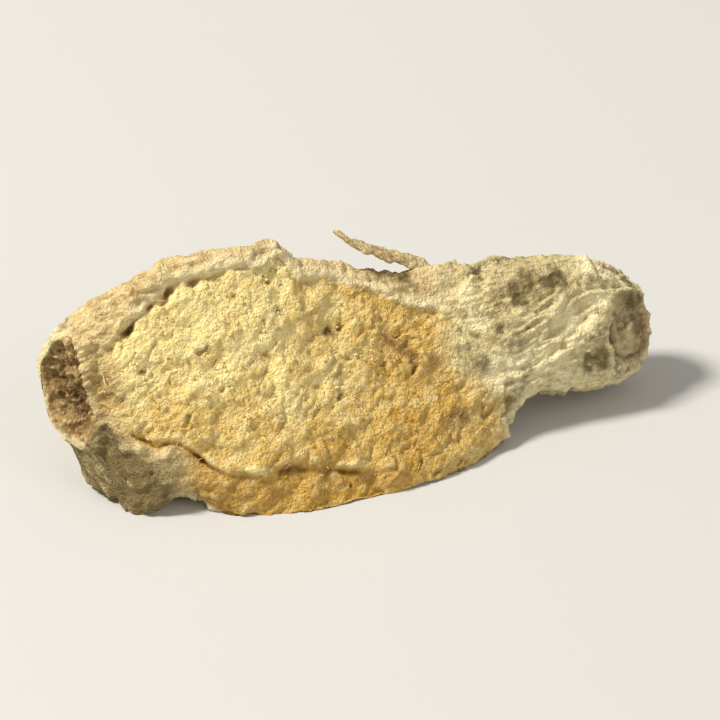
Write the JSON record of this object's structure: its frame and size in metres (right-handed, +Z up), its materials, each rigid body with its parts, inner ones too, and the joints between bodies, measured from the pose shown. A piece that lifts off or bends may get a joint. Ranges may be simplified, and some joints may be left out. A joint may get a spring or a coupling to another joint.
{
  "type": "dried ginger root piece",
  "caption": "Dried, chopped piece of ginger root: a wedge with a mealy yellow cut face, pale skin behind, a hollow broken end and a rounded bud tip, lying on a flat cut.",
  "frame": {"origin": "under the middle of the piece, on the plane of the flat cut that it lies on", "axes": "+X along the piece from its broken end to its bud tip, +Z up, -Y towards the side that its long cut face looks to"},
  "size_m": [0.0162, 0.006, 0.0056],
  "materials": {
    "dried_ginger": "matte, mealy and fibrous"
  },
  "bodies": {
    "root": {"ginger_root_piece": "dried_ginger"}
  },
  "joints": []
}
